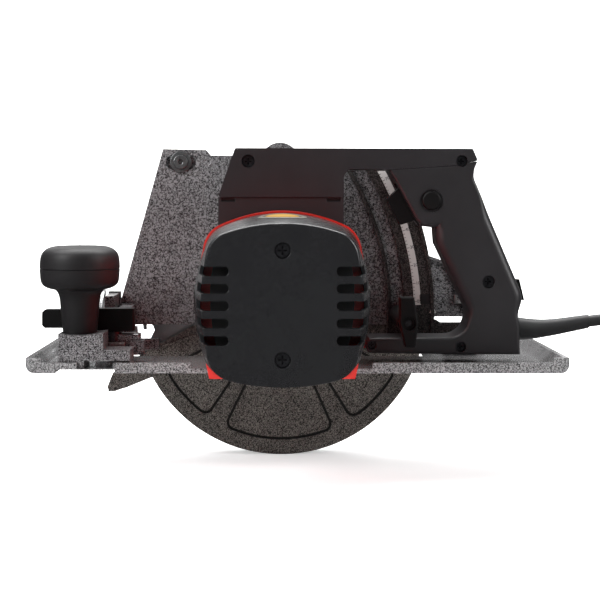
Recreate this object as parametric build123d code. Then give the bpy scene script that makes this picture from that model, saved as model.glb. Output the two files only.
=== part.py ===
from build123d import *
import math
import os

# Circular saw, millimetres. Origin: on the shoe's underside, below the arbor, in the blade's mid-plane.
# +X points to the rear handle, +Z up, and the motor lies on the -Y side of the blade.

# Driving dimensions
BLADE_R = 130.0
BLADE_T = 1.8
TOOTH_COUNT = 28
TOOTH_START = 6.6
ARBOR_Z = 45.5
GEAR_MODULE = 1.25
GEAR_TEETH = 29
PINION_TEETH = 7
GEAR_CENTRES = GEAR_MODULE * (GEAR_TEETH + PINION_TEETH) / 2
MOTOR_Z = ARBOR_Z + GEAR_CENTRES
SHOE_X = (-216.7, 243.1)
SHOE_Y = (-120.0, 55.0)
SHOE_T = 4.0
LIP_H = 13.0
EDGE_H = 9.0
SLOT_X = (-160.0, 132.0)
SLOT_Y = (-33.0, 27.0)
PIVOT = (-146.0, 42.5)
BEVEL_Z = 12.0
QUADRANT_R = 253.0
QUADRANT_SLOT = 11.5
DEPTH_SWING = 32.0
BEVEL_SWING = 45.0
CLAMP_R = 50.0
CLAMP_ANGLE = 18.0
STUD_X = 107.0
STUD_Z = 41.3
GUARD_IN = 138.0
GUARD_OUT = 141.0
GUARD_HALF = 17.0
GUARD_EDGE_Z = 31.0
WALL = 3.0
SKIRT_Z = 14.0
LOWER_R = 135.0
LOWER_T = 2.5
LOWER_HALF = 12.0
HUB_R = 30.0
HOUSING_Y = (-190.0, -60.0)
CAP_Y = (-232.0, -190.0)
HANDLE_Y = (-95.0, -55.0)
HANDLE_MID = -75.0
KNOB = (-172.2, -100.0)
FLOOR_Z = ARBOR_Z - LOWER_R
RUN = 0.05

# Cord
CORD_R = 5.0
CORD_Z = FLOOR_Z + CORD_R
COIL_CENTRE = (474.0, -26.0)
COIL_RINGS = (50.0, 60.0)
COIL_LAYERS = 3


def polygon(*points):
    return make_face(Polyline(*points, close=True))


def rounded(points, radii):
    """A face through these points, with the corners numbered in radii rounded."""
    face = polygon(*points)
    for index, radius in radii.items():
        corner = face.vertices().sort_by_distance(Vector(*points[index]))[0]
        face = fillet(corner, radius)
    return face


def disc(x, z, r):
    return Pos(x, z) * Circle(r)


def slab(face, y0, y1):
    """A face drawn in X and Z, made solid from y0 to y1."""
    return extrude(Plane.XZ.offset(-y1) * face, amount=y1 - y0)


def rod(x, z, r, y0, y1):
    return slab(disc(x, z, r), y0, y1)


def ring(x, z, r_out, r_in, y0, y1):
    return slab(disc(x, z, r_out) - disc(x, z, r_in), y0, y1)


def rod_x(y, z, r, x0, x1):
    return extrude(Plane.YZ.offset(x0) * Pos(y, z) * Circle(r), amount=x1 - x0)


def rod_z(x, y, r, z0, z1):
    return extrude(Plane.XY.offset(z0) * Pos(x, y) * Circle(r), amount=z1 - z0)


def plate_x(face, x0, x1):
    """A face drawn in Y and Z, made solid from x0 to x1."""
    return extrude(Plane.YZ.offset(x0) * face, amount=x1 - x0)


def block(x0, x1, y0, y1, z0, z1):
    return Pos((x0 + x1) / 2, (y0 + y1) / 2, (z0 + z1) / 2) * Box(x1 - x0, y1 - y0, z1 - z0)


def about(centre, r, degrees):
    """A point at radius r and this angle about a centre."""
    turn = math.radians(degrees)
    return (centre[0] + r * math.cos(turn), centre[1] + r * math.sin(turn))


def sector(centre, r_in, r_out, start, end):
    """A ring sector, with true arcs, between two angles in degrees."""
    middle = (start + end) / 2
    outer = ThreePointArc(*(about(centre, r_out, a) for a in (start, middle, end)))
    inner = ThreePointArc(*(about(centre, r_in, a) for a in (end, middle, start)))
    ends = [Line(outer @ 1, inner @ 0), Line(inner @ 1, outer @ 0)]
    return make_face([outer, ends[0], inner, ends[1]])


def hexagon(x, z, across):
    return Pos(x, z) * RegularPolygon(across / math.sqrt(3), 6)


ARBOR = (0.0, ARBOR_Z)
AXIS = (0.0, MOTOR_Z)


# Guards

NOSE = [(-45, 186.7), (-65.5, 186.7), (-69.2, 191.8), (-108.8, 192.7), (-146.2, 58.2), (-150, 44.4),
        (-134.6, 31.5), (-111.6, 31), (0, 31), (0, 100)]
CHUTE_SCREW = (-92.3, 180.7)
CHUTE_SLOT = (27.5, 14.0)
FLANGE_SCREWS = [(-52, 94), (52, 94), (-56, 34), (56, 34)]


def upper_guard():
    drum = disc(*ARBOR, GUARD_OUT) - Pos(0, GUARD_EDGE_Z - 100) * Rectangle(400, 200)
    nose = polygon(*NOSE)
    lug = disc(-1, 181, 18)
    shell = slab(drum + nose, -GUARD_HALF, GUARD_HALF) + slab(lug, -11, 11)
    inside = disc(*ARBOR, GUARD_IN) + offset(nose, -WALL, kind=Kind.INTERSECTION)
    hollow = GUARD_HALF - WALL
    shell -= slab(inside, -hollow, hollow)
    shell -= block(-104, -72, -hollow, hollow, 183, 200)
    skirt = [(-125, 32), (-114.5, 18), (-106, SKIRT_Z), (116, SKIRT_Z), (126, 32)]
    shell += slab(polygon(*skirt), hollow, GUARD_HALF)
    shell -= rod(*ARBOR, 41, -20, 0)
    shell -= rod(*ARBOR, 34, 0, 20) + block(-34, 34, 0, 20, 10, ARBOR_Z)
    slot = Pos(*CHUTE_SCREW) * SlotOverall(*CHUTE_SLOT)
    shell -= slab(slot, -20, -10)
    shell += ring(*PIVOT, 10.5, 5.05, -GUARD_HALF, GUARD_HALF)
    shell -= rod(*PIVOT, 5.05, -20, 20)
    shell += ring(STUD_X, STUD_Z, 11, 5, -19.5, -14)
    shell -= rod(STUD_X, STUD_Z, 5, -20, -13)
    shell += slab(sector(PIVOT, 240, 262, 20, 34.5), -GUARD_HALF, -hollow)
    web = polygon((128, 97), (155.4, 88), (175.9, 37.6), (138.5, 37.6))
    rim = web - offset(web, -3, kind=Kind.INTERSECTION)
    outside = disc(*ARBOR, GUARD_OUT - 1)
    shell += slab(web - outside, -7, -4) + slab(rim - outside, -10, -1)
    shell += slab(Pos(164.7, 53.6) * Rectangle(8, 8), -10, -4)
    for x, z in FLANGE_SCREWS:
        shell -= rod(x, z, 2.5, -20, -13)
    return shell


def chip_deflector():
    """A sliding baffle in the chip chute, behind the slotted wall."""
    tab = block(-104, -76, -13.8, -11.8, 163, 186)
    hood = slab(polygon((-76, 181), (-78, 183), (-104, 165), (-102, 163)), -13.8, 13.6)
    return tab + hood - rod(*CHUTE_SCREW, 2.6, -20, -10)


def deflector_screw():
    x, z = CHUTE_SCREW
    head = rod(x, z, 6.2, -23.5, -19) - slab(hexagon(x, z, 4.5), -24, -21)
    washer = rod(x, z, 9.6, -19, -17)
    nut = slab(hexagon(x, z, 8), -11.8, -8.6)
    return head + washer + rod(x, z, 2.5, -19, -8.6) + nut


def lower_guard():
    front = [(-133, 1.5), (-70, 35.6), (-28, 58.5), (28, 58.5), (135, 60)]
    below = polygon(*front, (170, -100), (-170, -100), (-170, -20))
    band = disc(*ARBOR, LOWER_R) & below
    near, far = -LOWER_HALF, LOWER_HALF
    guard = slab(band, near, far)
    guard -= slab(disc(*ARBOR, LOWER_R - LOWER_T), near + LOWER_T, far - LOWER_T)
    guard -= rod(*ARBOR, 72, 0, 20)
    guard += ring(*ARBOR, 38, HUB_R + RUN, -16, near + LOWER_T)
    guard -= rod(*ARBOR, HUB_R + RUN, -20, 0)
    for start, end in ((207, 236), (244, 294), (302, 332)):
        panel = fillet(sector(ARBOR, 62, 121.5, start, end).vertices(), 8)
        floor = offset(panel, -2.4)
        guard -= slab(floor, near - 1, near + 0.5) + slab(panel - floor, near - 1, near + 1.5)
    lip = [(-119, -18), (-143.5, -28), (-161, -32), (-158, -28.5), (-141, -23.5), (-121, -13)]
    cheek = [(-119, -18), (-143.5, -27.5), (-154, -31.4), (-159.6, -31), (-160.8, -27), (-155.6, -14),
             (-127, 3), (-125, -6)]
    guard += slab(polygon((-112, 8.5), (-60, 25.8), (-60, 28), (-112, 10.7)), near - 1.2, near + 1)
    outside = disc(*ARBOR, LOWER_R - 1)
    guard += slab(polygon(*lip) - outside, near, far)
    for y0 in (near, far - LOWER_T):
        guard += slab(polygon(*cheek) - outside, y0, y0 + LOWER_T)
    return guard


def guard_retainer():
    return ring(*ARBOR, HUB_R + 5, HUB_R - 1.5, -9.3, -7.8)


def guard_spring():
    """Torsion spring round the gear case's nose, two turns with a leg."""
    turns = [ring(*ARBOR, 40.2, 38.6, y, y + 1.4) for y in (-16.8, -15.2)]
    return turns[0] + turns[1] + block(38.8, 40.0, -16.8, -13.8, ARBOR_Z - 1, ARBOR_Z + 1)


# Blade and spindle

def saw_blade():
    root = BLADE_R - 9
    points = []
    for tooth in range(TOOTH_COUNT):
        lead = TOOTH_START + 360 * tooth / TOOTH_COUNT
        points += [about(ARBOR, BLADE_R - 0.6, lead), about(ARBOR, root, lead + 1.2)]
        points += [about(ARBOR, root - 1, lead + 3.5), about(ARBOR, BLADE_R - 3.5, lead + 7.5)]
    blade = slab(polygon(*points), -BLADE_T / 2, BLADE_T / 2)
    tip = slab(polygon((-6, 3.3), (0, 3.3), (0, -0.3), (-6, 0.2)), -1.3, 1.3)
    for tooth in range(TOOTH_COUNT):
        lead = TOOTH_START + 360 * tooth / TOOTH_COUNT
        x, z = about(ARBOR, BLADE_R - 3.3, lead)
        blade += Pos(x, 0, z) * Rot(0, 90 - lead, 0) * tip
    return blade - rod(*ARBOR, 7.94, -5, 5)


def spindle_shaft():
    """Rear journal, gear seat, lock collar with its hole, front journal and flatted nose."""
    shaft = rod(*ARBOR, 5, -57, -44) + rod(*ARBOR, 7.5, -44, -6) + rod(*ARBOR, 7.9, -6, 2.6)
    shaft += rod(*ARBOR, 11.5, -31, -21)
    shaft -= rod_x(-26, ARBOR_Z, 3.3, 7, 12)
    return shaft - rod(*ARBOR, 4, -14, 5)


def gear_face(teeth, addendum, slack, turn):
    """Spur gear outline: involute flanks above the base circle, radial below it."""
    pitch = GEAR_MODULE * teeth / 2
    base = pitch * math.cos(math.radians(20))
    root = pitch - 1.25 * GEAR_MODULE
    start = max(base, root)

    def lean(r):
        return math.sqrt(max((r / base) ** 2 - 1, 0)) - math.acos(min(base / r, 1))

    flank = [(root, start)] * (root < base - 0.01)
    flank += [(r, r) for r in (start + (pitch + addendum - start) * i / 4 for i in range(5))]
    half = math.pi / (2 * teeth) - slack / pitch
    side = [(r, math.degrees(half + lean(pitch) - lean(at))) for r, at in flank]
    points = []
    for tooth in range(teeth):
        middle = turn + 360 * tooth / teeth
        points += [about((0, 0), r, middle - a) for r, a in side]
        points += [about((0, 0), r, middle + a) for r, a in reversed(side)]
    return polygon(*points)


def spindle_gear():
    face = gear_face(GEAR_TEETH, 0.9 * GEAR_MODULE, 0.12, 90)
    return slab(Pos(*ARBOR) * face, -44, -32) - rod(*ARBOR, 7.5, -50, -20)


def blade_flanges():
    """Inner flange on the spindle's shoulder and outer flange under the bolt."""
    inner = ring(*ARBOR, 21, 7.9, -5.9, -BLADE_T / 2) - rod(*ARBOR, 15, -1.4, 0)
    outer = ring(*ARBOR, 21, 4.1, BLADE_T / 2, 5.4) - rod(*ARBOR, 15, 0, 1.4)
    return [inner, outer - rod(*ARBOR, 7.95, 0, 3)]


def blade_bolt():
    head = slab(hexagon(*ARBOR, 13), 7, 12.5)
    return head + rod(*ARBOR, 10, 5.4, 7) + rod(*ARBOR, 4, -13, 6)


def spindle_bearings():
    return [ring(*ARBOR, 17.5, 7.5, -19, -8), ring(*ARBOR, 13, 5, -56, -48)]


# Gear case and motor

def housing_face(shrink=0.0):
    """Motor section: bulged sides, arched top, flat foot with sharp corners."""
    foot, waist, top = 57 - shrink, 66.5 - shrink, 136.4 - shrink
    base, cheek, bend, brow = 5.3 + shrink, 106 - 0.3 * shrink, 117 - 0.6 * shrink, 124.5 - 0.85 * shrink
    side = ThreePointArc((foot, base), (waist - 3.0, 40), (waist, 75))
    upper = ThreePointArc((waist, 75), (waist - 1.6, 91), (waist - 4.5, cheek))
    corner = ThreePointArc((waist - 4.5, cheek), (waist - 8, bend), (waist - 15.5, brow))
    right = [side, upper, corner]
    arch = ThreePointArc((waist - 15.5, brow), (0, top), (15.5 - waist, brow))
    left = [mirror(edge, Plane.YZ) for edge in reversed(right)]
    return make_face([Line((-foot, base), (foot, base)), *right, arch, *left])


def gear_case():
    outer = housing_face(5)
    case = slab(outer, -59.9, -40) + slab(disc(0, 62, 56), -40, -21)
    flange = fillet(polygon((-60, 102), (60, 102), (64, 27), (-64, 27)).vertices(), 7)
    case += slab(disc(0, 62, 56) + flange, -21, -17)
    case += rod(*ARBOR, HUB_R, -17, -7.8)
    hollow = slab(offset(housing_face(5), -4), -55.9, -44) + slab(disc(0, 60, 50), -44, -21)
    case -= hollow
    case += rod(*ARBOR, 18, -59.9, -48) + rod(0, MOTOR_Z, 13, -59.9, -50)
    case -= rod(*ARBOR, 17.5, -19, -8) + rod(*ARBOR, 12.5, -25, -5)
    case -= rod(*ARBOR, 13, -56, -44) + rod(*ARBOR, 6, -58, -44)
    case -= rod(0, MOTOR_Z, 8, -61, -40)
    case -= rod(0, 92, 4, -62, -50)
    case += ring(*ARBOR, HUB_R - 1.5, 17.5, -9.3, -7.8)
    case -= ring(*ARBOR, HUB_R + 1, HUB_R - 1.5, -9.3, -7.8)
    case += rod_x(-26, ARBOR_Z, 7.6, 42, 62) - rod_x(-26, ARBOR_Z, 3.3, 40, 63)
    case -= rod_x(-26, ARBOR_Z, 6.3, 50, 67) + rod_x(-26, ARBOR_Z, 3.3, 40, 60)
    for x, z in FLANGE_SCREWS:
        case -= rod(x, z, 2.5, -22, -16)
    return case


def gear_case_screws():
    return [rod(x, z, 2.5, -22, -14.2) + rod(x, z, 4.2, -25, -21) - slab(hexagon(x, z, 4), -26, -23)
            for x, z in FLANGE_SCREWS]


def spindle_lock():
    """Its pin stops short of the lock collar when pressed, because the hole lines up only once a turn."""
    return rod_x(-26, ARBOR_Z, 3.2, 16, 56) + rod_x(-26, ARBOR_Z, 6.2, 55, 68)


def motor_housing():
    shell = slab(housing_face(), *HOUSING_Y) - slab(housing_face(3.5), -191, -63.9)
    shell += slab(housing_face(2) - housing_face(14), -189.9, -186)
    shell += rod(*AXIS, 19, -72, -60)
    bars = Pos(*AXIS) * (Rot(0, 0, 45) * Rectangle(180, 6) + Rot(0, 0, -45) * Rectangle(180, 6))
    ribs = (bars & housing_face(1)) - disc(*AXIS, 54)
    shell += slab(ribs, -152, -98)
    shell -= rod(*AXIS, 16, -70, -55) + rod(*AXIS, 8, -80, -55)
    for side in (-1, 1):
        ends = sorted((side * 60, side * 75))
        shell -= rod_x(-176, MOTOR_Z, 9.5, *ends)
    return shell + block(60, 84, -80, -70, 16.8, 23.6) - rod(77.6, 21, 1.9, -82, -68)


def bearing_bracket():
    """Black moulded dome behind the end cap: rear bearing seat, air slots and cap screw holes."""
    dome = slab(housing_face(11), -205, -190) - slab(housing_face(14), -202, -180)
    dome += rod(*AXIS, 17, -205, -190)
    dome -= rod(*AXIS, 13, -200, -180) + rod(*AXIS, 7, -202, -180)
    for x in (-31, 0, 31):
        for z in (38, 98):
            dome -= slab(Pos(x, z) * SlotOverall(22, 8), -206, -201)
    for x, z in CAP_SCREWS:
        dome -= rod(x, z, 2.2, -206, -196)
    return dome


def field_core():
    """Yoke ring with two pole shoes round the armature."""
    face = disc(*AXIS, 54) - disc(*AXIS, 45)
    for turn in (90, 270):
        face += sector(AXIS, 31.5, 37, turn - 50, turn + 50)
        face += Pos(*about(AXIS, 41, turn)) * Rectangle(24, 10)
    return slab(face, -148, -102)


def field_windings():
    coil = disc(*AXIS, 50) - disc(*AXIS, 33) - Pos(*AXIS) * Rectangle(12, 120)
    ends = slab(coil, -158, -148) + slab(coil, -102, -92)
    return fillet(ends.edges().filter_by(GeomType.CIRCLE), 2)


def armature_shaft():
    pinion = gear_face(PINION_TEETH, GEAR_MODULE, 0.12, 180 / PINION_TEETH - 90)
    shaft = rod(*AXIS, 5, -200, -187) + rod(*AXIS, 6, -187, -60) + rod(*AXIS, 5, -60, -47)
    return shaft + slab(Pos(*AXIS) * pinion, -47, -31)


def armature_core():
    slots = [about(AXIS, 30, 30 * i) for i in range(12)]
    face = disc(*AXIS, 30.5) - disc(*AXIS, 6)
    for x, z in slots:
        face -= disc(x, z, 1.6)
    return slab(face, -148, -102)


def armature_windings():
    ends = [ring(*AXIS, 26, 6, -160, -148), ring(*AXIS, 26, 6, -102, -91)]
    return [fillet(s.edges().filter_by(GeomType.CIRCLE).group_by(SortBy.RADIUS)[-1], 4) for s in ends]


def commutator():
    bars = ring(*AXIS, 18, 6, -183, -163)
    for i in range(24):
        bars -= Pos(0, -173, MOTOR_Z) * Rot(0, 15 * i, 0) * Pos(18, 0, 0) * Box(2.4, 22, 0.6)
    return bars


def cooling_fan():
    fan = ring(*AXIS, 46, 6, -78, -76) + ring(*AXIS, 12, 6, -88, -76)
    vane = slab(Pos(30, 0) * Rectangle(30, 2.4), -87, -77)
    for i in range(12):
        fan += Pos(0, 0, MOTOR_Z) * Rot(0, 30 * i, 0) * vane
    return fan


def air_baffle():
    return slab(housing_face(4) - disc(*AXIS, 47.5), -92, -89)


def armature_bearings():
    return [ring(*AXIS, 16, 6, -70, -60), ring(*AXIS, 13, 5, -199, -191)]


def brush_gear():
    """Holders, carbon blocks and screw caps, one of each on both sides of the commutator."""
    holders, carbons, caps = [], [], []
    for side in (-1, 1):
        place = Pos(0, -176, MOTOR_Z) * Rot(0, 0 if side > 0 else 180, 0)
        sleeve = Pos(42, 0, 0) * Box(40, 12, 14) - Pos(42, 0, 0) * Box(41, 7, 11)
        holders.append(place * sleeve)
        carbons.append(place * Pos(29.2, 0, 0) * Box(22, 6.8, 10.8))
        cap = rod_x(0, 0, 9.3, 62, 69.3) - plate_x(Rectangle(12, 2), 67.8, 70)
        caps.append(place * cap)
    return holders, carbons, caps


def cap_section(face_y, crown, shoulder, side, heel, foot):
    """One outline of the end cap, drawn in the plane y = face_y, from its right half's points."""
    (corner, shoulder_mid, shoulder_end), (side_mid, side_end), (heel_mid, heel_end) = shoulder, side, heel
    right = [ThreePointArc(heel_end, heel_mid, side_end), ThreePointArc(side_end, side_mid, shoulder_end),
             ThreePointArc(shoulder_end, shoulder_mid, corner)]
    top = ThreePointArc(corner, (0, crown), (-corner[0], corner[1]))
    bottom = ThreePointArc((-heel_end[0], heel_end[1]), (0, foot), heel_end)
    left = [mirror(edge, Plane.YZ) for edge in right]
    return Plane.XZ.offset(-face_y) * make_face([bottom, *right, top, *left])


CAP_FACE = (127.8, [(45, 120), (53, 114), (57.4, 104.2)], [(61.2, 68), (57, 31.3)],
            [(52.3, 17.5), (39.3, 9.2)], 4.4)
CAP_RIM = (135, [(50.3, 123.2), (57.3, 116), (60.7, 107)], [(68.5, 66), (62.3, 26)],
           [(56.5, 13.5), (42, 7)], 4.0)
CAP_SCREWS = [(0, 107), (0, 25)]


def motor_end_cap():
    y0, y1 = CAP_Y
    face = cap_section(y0 + 1.2, *CAP_FACE)
    rim = cap_section(y1, *CAP_RIM)
    front = Pos(0, -1.2, 0) * offset(face, -1.2)
    outer = loft([front, face]) + loft([face, rim])
    inner = loft([Pos(0, 2.2, 0) * offset(face, -3.2), Pos(0, 1, 0) * offset(rim, -WALL)])
    cap = outer - inner
    for row in range(5):
        z = 91.5 - 13 * row
        for side in (-1, 1):
            cut = fillet(block(40.5, 80, y0 - 1, y0 + 30, z - 3.5, z + 3.5).edges().filter_by(Axis.Y), 3)
            cap -= cut if side > 0 else mirror(cut, Plane.YZ)
    for x, z in CAP_SCREWS:
        cap += rod(x, z, 9, y0 + 2, -205)
        cap -= rod(x, z, 6, y0 - 1, y0 + 5) + rod(x, z, 2.4, y0, -200)
    return cap


def end_cap_screws():
    y0 = CAP_Y[0]
    return [rod(x, z, 5.6, y0 + 2.4, y0 + 5) + rod(x, z, 2.1, y0 + 5, -197)
            - slab(Pos(x, z) * (Rectangle(6.5, 1.4) + Rectangle(1.4, 6.5)), y0 + 2, y0 + 3.8)
            for x, z in CAP_SCREWS]


# Handle

BAR = [(-40, 190), (-54.6, 148), (53.5, 148), (53.5, 166), (57.8, 172), (93, 171.4), (152, 175.2),
       (168.5, 179.2), (164.2, 189.4)]
GRIP = [(93, 171), (115.9, 128.7), (120.8, 122.9), (132.5, 121.4), (133.5, 108), (162.1, 48), (158.2, 33.3),
        (147.9, 27.3), (75, 27), (71.5, 20.2), (75, 13.3), (204.9, 12.6), (203.7, 48), (207.9, 59.9),
        (206.4, 66.7), (187.7, 111.1), (165.1, 164.3), (165.1, 171.1), (168.5, 178.8), (152, 174.8)]
BAR_SCREWS = [(-28.8, 178.8, 5.6), (154.8, 178.8, 5.0)]
GRIP_SCREWS = [(77.6, 21, 4.0), (153.9, 19.3, 4.6), (177.9, 75, 5.6)]
BUTTON = (128.6, 144.7)
TRIGGER_PIVOT = (112, 152)
SKIN = 3.0
GRIP_ROUND = {5: 16.0, 6: 16.0, 7: 16.0, 12: 14.0, 13: 14.0, 14: 14.0, 16: 14.0, 17: 14.0}


def handle_bar():
    y0, y1 = HANDLE_Y
    solid = fillet(slab(polygon(*BAR), y0, y1).edges().filter_by(Axis.Y), 1.5)
    inside = slab(offset(polygon(*BAR), -SKIN, kind=Kind.INTERSECTION), y0 + SKIN, y1 - SKIN)
    bar = solid - inside
    bar -= block(-50.6, 49.5, y0 + SKIN, y1 - SKIN, 140, 152)
    for x, z, r in BAR_SCREWS:
        column = disc(x, z, r + 2) & polygon(*BAR)
        bar += slab(column, y0 + 1, y1 - 1)
        bar -= rod(x, z, r, y0 - 1, y0 + 8) + rod(x, z, 1.9, y0, -58)
    return bar


def handle_saddle():
    """Foot of the handle bar, shaped to the top of the motor housing."""
    saddle = block(-54.6, 53.5, -93, -57, 112, 147.9) - slab(housing_face(-0.05), -100, -50)
    saddle += block(-47, 49.3, -91.8, -58.2, 147, 154)
    saddle -= block(-44, 43, -86, -64, 140, 155)
    for x in (-46, 45):
        saddle -= block(x - 6, x + 6, -94, -90, 144.2, 147.2)
    return saddle.solids().sort_by(SortBy.VOLUME)[-1]


def grip_half(y0, y1, open_side):
    outline = rounded(GRIP, GRIP_ROUND)
    solid = slab(outline, y0, y1)
    outer = solid.faces().sort_by(Axis.Y)[0 if open_side == "high" else -1]
    solid = fillet(outer.outer_wire().edges(), 2.5)
    low = y0 - 1 if open_side == "low" else y0 + SKIN
    high = y1 + 1 if open_side == "high" else y1 - SKIN
    shell = solid - slab(offset(outline, -SKIN, kind=Kind.INTERSECTION), low, high)
    edge = y0 if open_side == "high" else y1
    for x, z, r in GRIP_SCREWS:
        column = disc(x, z, r + 2) & outline
        shell += slab(column, min(edge + 1, y1), y1) if edge == y0 else slab(column, y0, edge - 1)
    for x, z, r in BAR_SCREWS + GRIP_SCREWS:
        shell -= rod(x, z, r, HANDLE_Y[0] - 1, HANDLE_Y[0] + 8) + rod(x, z, 1.9, HANDLE_Y[0], -58)
    shell += slab(disc(*TRIGGER_PIVOT, 5), edge, edge + 6) if edge == y0 else \
        slab(disc(*TRIGGER_PIVOT, 5), edge - 6, edge)
    shell -= rod(*TRIGGER_PIVOT, 2 + RUN, -90.5, -59.5)
    shell -= block(88, 122, -84.6, -65.4, 118, 160)
    shell -= rod(*BUTTON, 8.3, -96, -90) + rod(*BUTTON, 9.4, -96, -94)
    shell -= rod_x(HANDLE_MID, 33.6, 8, 196, 215)
    shell -= block(62, 90, -80.2, -69.8, 16.6, 23.8)
    return shell


def handle_screws():
    """Pan heads at the foot of each recess."""
    y0 = HANDLE_Y[0]
    screws = []
    for x, z, r in BAR_SCREWS + GRIP_SCREWS:
        cross = Pos(x, z) * (Rectangle(r, 1.2) + Rectangle(1.2, r))
        head = rod(x, z, r - 0.3, y0 + 5, y0 + 8) - slab(cross, y0 + 4, y0 + 6.4)
        screws.append(head + rod(x, z, 1.9, y0 + 8, -60))
    return screws


def trigger():
    lever = polygon((91.5, 146), (98, 152), (104, 158), (116, 158), (118, 148), (119.5, 129.2), (103, 123.7))
    body = slab(lever, -84, -66)
    return fillet(body.edges().filter_by(Axis.Y), 1.2) + rod(*TRIGGER_PIVOT, 2, -90, -60)


def switch_body():
    return block(121, 150, -84, -66, 150, 168)


def lock_button():
    button = chamfer(rod(*BUTTON, 8.1, -97.4, -90.2).faces().sort_by(Axis.Y)[0].edges(), 1)
    return button + rod(*BUTTON, 9.2, -91.6, -90)


def wrench_clip():
    fin = polygon((202.6, 76), (210.6, 75.4), (215, 56.9), (208.1, 57), (208, 59.9), (206.5, 66.8))
    return slab(fin, -62, -58)


# Cord

BOOT = [(205, 33.2, 9.8), (214, 32.9, 9.2), (223, 33.0, 8.3), (236, 34.2, 7.3), (255, 37.3, 6.5),
        (268, 39.5, 5.9)]
ROUTE = [(268, -75, 39.5), (299, -75, 44), (329, -76, 34), (352, -79, 9), (367, -83, -26),
         (386, -87, -58), (413, -88, -77), (443, -87, CORD_Z), (COIL_CENTRE[0], -86, CORD_Z)]


def cord_boot():
    sections = [Plane(origin=(x, HANDLE_MID, z), x_dir=(0, 1, 0), z_dir=(1, 0, 0)) * Circle(r)
                for x, z, r in BOOT]
    boot = loft(sections) + rod_x(HANDLE_MID, 33.6, 7.9, 196, 206) + rod_x(HANDLE_MID, 33.6, 10, 196, 199)
    return boot


def cord_lead():
    """The stretch from the boot to the coil: straight runs joined by tangent arcs."""
    points = [Vector(*p) for p in ROUTE]
    radii = []
    for before, here, after in zip(points, points[1:], points[2:]):
        turn = (here - before).get_angle(after - here)
        run = min((here - before).length, (after - here).length)
        radii.append(0.45 * run / math.tan(math.radians(turn) / 2))
    print("cord radii", [round(r) for r in radii])
    path = FilletPolyline(*points, radius=radii)
    lead = sweep(Plane(origin=path @ 0, z_dir=path % 0) * Circle(CORD_R), path=path)
    print("cord lead", round(path.length), "volume ratio", round(lead.volume / path.length / 78.54, 4))
    return lead


def cord_coil():
    """Outer shape of the put-away turns, two rings wide and three layers high."""
    inner, outer = COIL_RINGS[0] - CORD_R, COIL_RINGS[1] + CORD_R
    top = FLOOR_Z + 2 * CORD_R * COIL_LAYERS
    length = COIL_LAYERS * 2 * math.pi * sum(COIL_RINGS)
    print("coil length", round(length))
    band = rod_z(*COIL_CENTRE, outer, FLOOR_Z, top) - rod_z(*COIL_CENTRE, inner, FLOOR_Z, top)
    return band


PLUG_Y = COIL_CENTRE[1] + COIL_RINGS[0]
PLUG_Z = FLOOR_Z + 2 * CORD_R * COIL_LAYERS + 12
PLUG_X = (414.0, 452.0)


def plug_body():
    x0, x1 = PLUG_X
    body = block(x0, x1, PLUG_Y - 14, PLUG_Y + 14, PLUG_Z - 12, PLUG_Z + 12)
    body = fillet(body.edges().filter_by(Axis.X), 5)
    neck = Rot(0, 90, 0) * Cone(9, 6.4, 22, align=(Align.CENTER, Align.CENTER, Align.MIN))
    return body + Pos(x1, PLUG_Y, PLUG_Z) * neck


def plug_prongs():
    blades = []
    for side, half in ((-1, 3.2), (1, 4.0)):
        z = PLUG_Z + side * 6.35
        blades.append(block(PLUG_X[0] - 18, PLUG_X[0], PLUG_Y - half, PLUG_Y + half, z - 0.75, z + 0.75))
    return blades


# Depth setting

def front_bracket():
    """Fork on the depth pivot, with the boss of the bevel hinge and the arm of the bevel clamp."""
    bracket = rod_x(0, BEVEL_Z, 7.5, -158, -136)
    near = block(-158, -136, -26, -18.5, 14, 50.5) + block(-158, -147, -26, -18.5, 50, 62)
    near += block(-136, -112, -26, -18.5, 9, 18.6)
    far = rod(*PIVOT, 12, 18.5, 26) + block(-158, -140, 18.5, 26, 27, 42)
    bridge = block(-158, -140, -26, 7.4, 12, 19.5)
    strut = plate_x(polygon((0, 19.5), (7.4, 13), (26, 28), (26, 34), (18.5, 34), (18.5, 26)), -158, -140)
    arm = block(-157, -136, -80, -24, 15, 22.4) + block(-157, -134, -58, -24, 14, 50)
    arm += block(-157, -148, -58, -24, 49, 60) + block(-143, -124, -80, -62, 19.7, 28.1)
    arm += block(-132, -119.5, -82, -70, 10.8, 23.1)
    bracket += near + far + bridge + strut + arm
    bracket -= rod(*PIVOT, 5, -40, 40)
    bracket -= rod_x(0, BEVEL_Z, 4 + RUN, -160, -130)
    clamp_y, clamp_z = clamp_point(CLAMP_ANGLE)
    bracket -= rod_x(clamp_y, clamp_z, 3, -160, -130)
    bracket -= rod(*PIVOT, 7.6, -70, -26)
    bracket -= rod_z(*LEVER, 7.4, 22.4, 40)
    return bracket - rod_z(*LEVER, 3, 10, 40)


LEVER = (-147.0, -74.0)


def clamp_point(degrees):
    """A point of the bevel clamp's arc, as y and z."""
    turn = math.radians(degrees)
    return (-CLAMP_R * math.cos(turn), BEVEL_Z + CLAMP_R * math.sin(turn))


def depth_pivot_pin():
    return rod(*PIVOT, 5, -28, 28) + rod(*PIVOT, 7.5, -30, -26) + rod(*PIVOT, 7.5, 26, 29)


def bevel_clamp_bolt():
    """Bolt through the bevel quadrant, with its washer and head in front and a nut behind."""
    y, z = clamp_point(CLAMP_ANGLE)
    bolt = rod_x(y, z, 3, -170, -134) + rod_x(y, z, 6, -167.2, -165.2)
    nut = plate_x(Pos(y, z) * RegularPolygon(5.8, 6), -134, -129)
    return bolt + nut + plate_x(Pos(y, z) * RegularPolygon(5.8, 6), -171, -167)


def bevel_stud():
    return rod_z(*LEVER, 3, 12, 46) + rod_z(*LEVER, 7.2, 22.6, 30.4) + rod_z(*LEVER, 5, 11, 14.9)


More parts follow.
